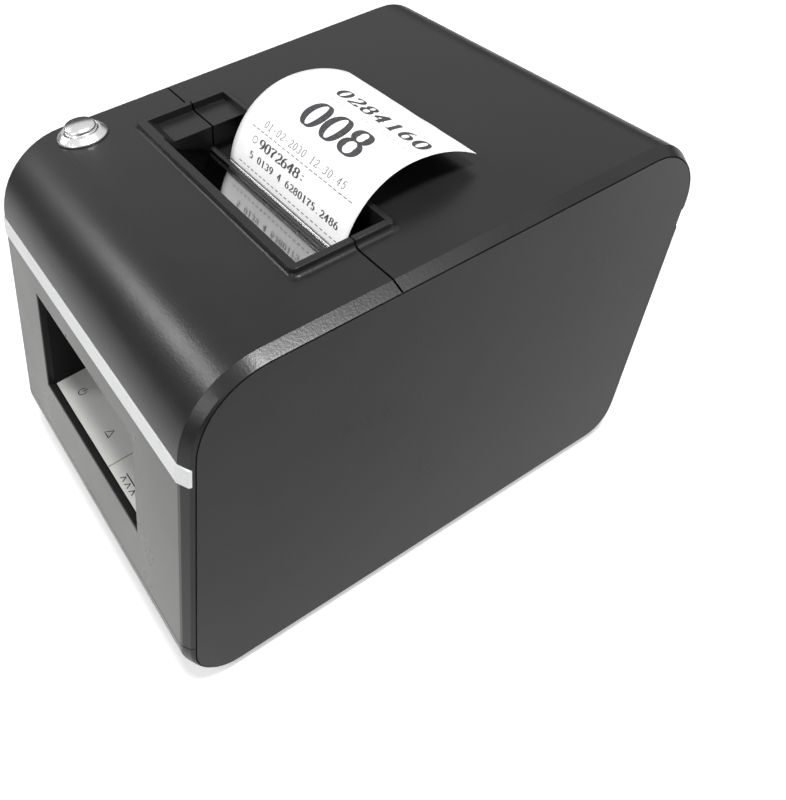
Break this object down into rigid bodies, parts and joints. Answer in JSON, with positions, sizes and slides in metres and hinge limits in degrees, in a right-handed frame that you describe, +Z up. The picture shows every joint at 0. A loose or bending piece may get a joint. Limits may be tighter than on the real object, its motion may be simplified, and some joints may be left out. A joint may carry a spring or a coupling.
{
  "type": "countertop queue ticket printer",
  "caption": "Leaning countertop queue ticket printer with a steel ticket button, a serrated paper outlet, a front window panel and a rear-hinged lid over the paper roll.",
  "frame": {"origin": "on the counter, under the middle of the casing", "axes": "+Z up, -Y towards the customer side with the window, +X to the right seen from the front"},
  "size_m": [0.124, 0.168, 0.1061],
  "materials": {
    "casing": "fine spark texture, semi-matt",
    "silver_trim": "silver lacquer, satin",
    "black_plastic": "matt",
    "grey_plastic": "matt",
    "lamp": "clear glossy",
    "steel": "bright, finely machined",
    "zinc_sheet": "zinc-plated sheet, satin",
    "blade": "polished",
    "paper": "smooth thermal paper, matt",
    "core": "matt",
    "rubber": "matt",
    "nylon": "satin",
    "brass": "machined",
    "board": "solder mask, satin",
    "ceramic": "glazed",
    "heatsink": "plain"
  },
  "bodies": {
    "casing": {"base_tray": "casing", "front_cover": "casing", "rear_panel": "casing", "side_plate_left": "casing", "side_plate_right": "casing", "trim_strip": "silver_trim", "window_liner": "black_plastic", "control_panel": "grey_plastic", "indicator_lamps": "lamp", "feed_switch": "black_plastic", "panel_board": "board", "button_housing": "steel", "button_nut": "steel", "button_spring": "steel", "chassis_frame": "zinc_sheet", "chassis_screws": "steel", "paper_bucket": "black_plastic", "paper_web": "paper", "idler_pin": "steel", "stepper_motor": "zinc_sheet", "head_shaft": "steel", "cutter_plate": "blade", "tear_bar": "black_plastic", "paper_sensor": "black_plastic", "main_board": "board", "power_inlet": "black_plastic", "usb_socket": "steel", "serial_socket": "nylon", "switch_housing": "black_plastic", "hinge_pins": "steel", "rubber_feet": "rubber", "base_screws": "steel"},
    "lid": {"lid_cover": "casing", "platen_bracket": "zinc_sheet", "platen_bushings": "nylon", "ticket": "paper", "lid_screws": "steel"},
    "platen": {"platen_roller": "rubber", "platen_shaft": "steel", "platen_gear": "nylon"},
    "idler": {"idler_gear": "nylon"},
    "motor_rotor": {"motor_pinion": "brass"},
    "head": {"print_head": "ceramic", "head_heatsink": "heatsink", "head_springs": "steel"},
    "button": {"button_cap": "steel"},
    "feed": {"feed_key": "grey_plastic"},
    "rocker": {"power_rocker": "black_plastic"},
    "roll": {"paper_roll": "paper", "roll_core": "core"}
  },
  "joints": [
    {"name": "lid_hinge", "type": "hinge", "parent": "casing", "child": "lid", "pos_m": [0, 0.07931, 0.0745], "axis": [-1, 0, 0], "range_deg": [0, 90]},
    {"name": "platen_spin", "type": "hinge", "parent": "lid", "child": "platen", "pos_m": [0.0065, -0.00426, 0.07887], "axis": [1, 0, 0], "continuous": true},
    {"name": "idler_spin", "type": "hinge", "parent": "casing", "child": "idler", "pos_m": [-0.03, -0.01957, 0.06814], "axis": [1, 0, 0], "continuous": true},
    {"name": "motor_spin", "type": "hinge", "parent": "casing", "child": "motor_rotor", "pos_m": [-0.03, -0.03195, 0.05577], "axis": [1, 0, 0], "continuous": true},
    {"name": "roll_spin", "type": "hinge", "parent": "casing", "child": "roll", "pos_m": [0.0065, 0.038, 0.0543], "axis": [1, 0, 0], "continuous": true},
    {"name": "head_pivot", "type": "hinge", "parent": "casing", "child": "head", "pos_m": [0.0065, -0.01336, 0.06587], "axis": [1, 0, 0], "range_deg": [0, 3], "stiffness_Nm_per_rad": 0.3, "springref_deg": -2.86},
    {"name": "button_press", "type": "slide", "parent": "casing", "child": "button", "axis": [0, 0, -1], "range_m": [0, 0.0015], "stiffness_N_per_m": 400, "deforming": ["button_spring"]},
    {"name": "feed_press", "type": "slide", "parent": "casing", "child": "feed", "axis": [0, 0, -1], "range_m": [0, 0.0007], "stiffness_N_per_m": 600},
    {"name": "power_switch", "type": "hinge", "parent": "casing", "child": "rocker", "pos_m": [0.049, 0.0733, 0.04865], "axis": [-1, 0, 0], "range_deg": [0, 16]}
  ],
  "couplings": [
    {"joint": "idler_spin", "follows": "platen_spin", "ratio": -0.40909},
    {"joint": "motor_spin", "follows": "platen_spin", "ratio": 1.2857},
    {"joint": "roll_spin", "follows": "platen_spin", "ratio": 0.22}
  ]
}
